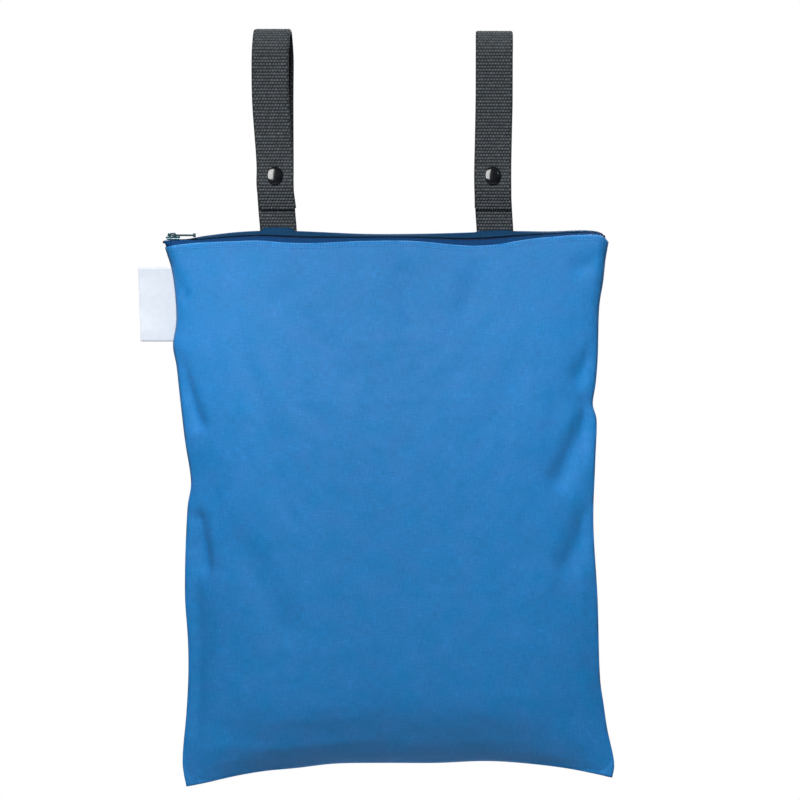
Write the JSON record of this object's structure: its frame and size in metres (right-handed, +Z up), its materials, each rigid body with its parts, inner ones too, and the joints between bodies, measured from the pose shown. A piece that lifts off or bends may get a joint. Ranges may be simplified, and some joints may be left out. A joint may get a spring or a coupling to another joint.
{
  "type": "hanging zip-top cloth diaper wet bag",
  "caption": "Flat zip-top cloth pouch for wet diapers that hangs from a rail by two webbing loops closed with press snaps, with a blank side label.",
  "frame": {"origin": "on the axis of the rail that the bag hangs from, midway between the two loops", "axes": "+X to the right along the rail as seen from the front, +Y to the back, +Z up"},
  "size_m": [0.3274, 0.0673, 0.5206],
  "materials": {
    "cloth": "matt blue cotton",
    "zip_tape": "navy woven tape",
    "zip_coil": "navy nylon coil",
    "slider_metal": "grey-blue enamelled metal with worn edges",
    "label_cloth": "white satin ribbon, blank",
    "webbing": "dark grey ribbed webbing",
    "snap_plastic": "glossy black"
  },
  "bodies": {
    "bag": {"front_panel": "cloth", "back_panel": "cloth", "front_tape": "zip_tape", "back_tape": "zip_tape", "zipper_coil": "zip_coil", "slider_body": "slider_metal", "zipper_stop": "zip_coil", "side_label": "label_cloth", "left_strap": "webbing", "right_strap": "webbing", "left_snap_cap": "snap_plastic", "left_snap_socket": "snap_plastic", "left_snap_back_cap": "snap_plastic", "right_snap_cap": "snap_plastic", "right_snap_socket": "snap_plastic", "right_snap_back_cap": "snap_plastic"},
    "pull": {"pull_tab": "slider_metal"}
  },
  "joints": [
    {"name": "pull_swing", "type": "hinge", "parent": "bag", "child": "pull", "pos_m": [-0.144, -0.00047, -0.12524], "axis": [0, -0.9909, -0.1343], "range_deg": [0, 180]}
  ]
}
